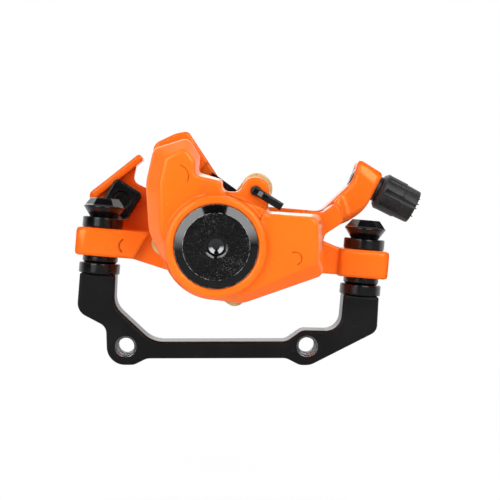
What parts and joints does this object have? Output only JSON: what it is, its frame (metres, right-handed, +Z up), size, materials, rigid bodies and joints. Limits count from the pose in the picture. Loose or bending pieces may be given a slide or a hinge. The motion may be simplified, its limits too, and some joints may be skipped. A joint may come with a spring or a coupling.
{
  "type": "mechanical disc brake caliper",
  "caption": "Cable-operated disc brake caliper on an adapter bracket, with ball-ramp lever, two pads, pad adjuster disc, ball-and-socket mounting washers and a barrel adjuster.",
  "frame": {"origin": "midway between the adapter bracket's two frame holes, on the bracket's outer face", "axes": "+X along the line of the two frame holes, towards the barrel adjuster; +Y outboard, away from the wheel, along the frame holes; +Z up, from the frame holes to the caliper"},
  "size_m": [0.099, 0.0545, 0.0651],
  "materials": {
    "orange_paint": "gloss",
    "black_aluminium": "satin",
    "black_steel": "gloss",
    "gloss_black": "gloss",
    "black_plastic": "matte",
    "yellow_zinc": "satin",
    "pad_lining": "matte",
    "spring_steel": "satin",
    "bare_steel": "satin",
    "polished_steel": "polished",
    "rubber": "matte"
  },
  "bodies": {
    "bracket": {"adapter_bracket": "black_aluminium", "mount_bolts": "black_steel", "upper_cup_washers": "black_steel", "lower_convex_washers": "black_steel", "lower_cup_washers": "black_steel"},
    "caliper": {"outboard_housing": "orange_paint", "inboard_housing": "orange_paint", "body_bolts": "black_steel", "pad_pin": "black_steel", "pad_spring": "spring_steel", "ramp_cup": "bare_steel", "dust_seal": "rubber", "return_spring": "spring_steel", "lock_collar": "black_plastic"},
    "inboard_pad": {"inboard_backing_plate": "yellow_zinc", "inboard_lining": "pad_lining"},
    "pad_adjuster": {"pad_adjuster": "gloss_black", "adjuster_seal": "rubber"},
    "outboard_pad": {"outboard_backing_plate": "yellow_zinc", "outboard_lining": "pad_lining", "pad_piston": "bare_steel"},
    "lever": {"actuating_lever": "orange_paint", "ramp_spindle": "bare_steel", "ramp_balls": "polished_steel", "lever_bolt": "black_steel", "lever_washer": "black_steel", "cable_clamp_block": "black_steel", "cable_clamp_bolt": "black_steel"},
    "cable_ferrule": {"housing_ferrule": "black_plastic"},
    "barrel_adjuster": {"barrel_screw": "black_steel", "barrel_knob": "black_plastic"}
  },
  "joints": [
    {"name": "caliper_slide", "type": "slide", "parent": "bracket", "child": "caliper", "axis": [0, 1, 0], "range_m": [-0.0012, 0.0012]},
    {"name": "outboard_pad_slide", "type": "slide", "parent": "caliper", "child": "outboard_pad", "axis": [0, -1, 0], "range_m": [0, 0.002], "deforming": ["pad_spring"]},
    {"name": "lever_hinge", "type": "hinge", "parent": "outboard_pad", "child": "lever", "pos_m": [0, 0, 0.0291], "axis": [0, 1, 0], "range_deg": [0, 40], "stiffness_Nm_per_rad": 0.12, "springref_deg": -22.92, "deforming": ["return_spring"]},
    {"name": "inboard_pad_slide", "type": "slide", "parent": "caliper", "child": "inboard_pad", "axis": [0, 1, 0], "range_m": [0, 0.002], "deforming": ["pad_spring"]},
    {"name": "pad_adjuster_screw", "type": "hinge", "parent": "inboard_pad", "child": "pad_adjuster", "pos_m": [0, 0, 0.0291], "axis": [0, 1, 0], "range_deg": [0, 720]},
    {"name": "ferrule_slide", "type": "slide", "parent": "caliper", "child": "cable_ferrule", "axis": [0.8918, 0, -0.4524], "range_m": [0, 0.005]},
    {"name": "barrel_screw_turn", "type": "hinge", "parent": "cable_ferrule", "child": "barrel_adjuster", "pos_m": [0.04606, 0.006, 0.04465], "axis": [0.8918, 0, -0.4524], "range_deg": [0, 1800]}
  ],
  "couplings": [
    {"joint": "lever_hinge", "follows": "outboard_pad_slide", "rad_per_m": 349.06},
    {"joint": "pad_adjuster_screw", "follows": "inboard_pad_slide", "rad_per_m": 6283.2},
    {"joint": "barrel_screw_turn", "follows": "ferrule_slide", "rad_per_m": 6283.2}
  ]
}
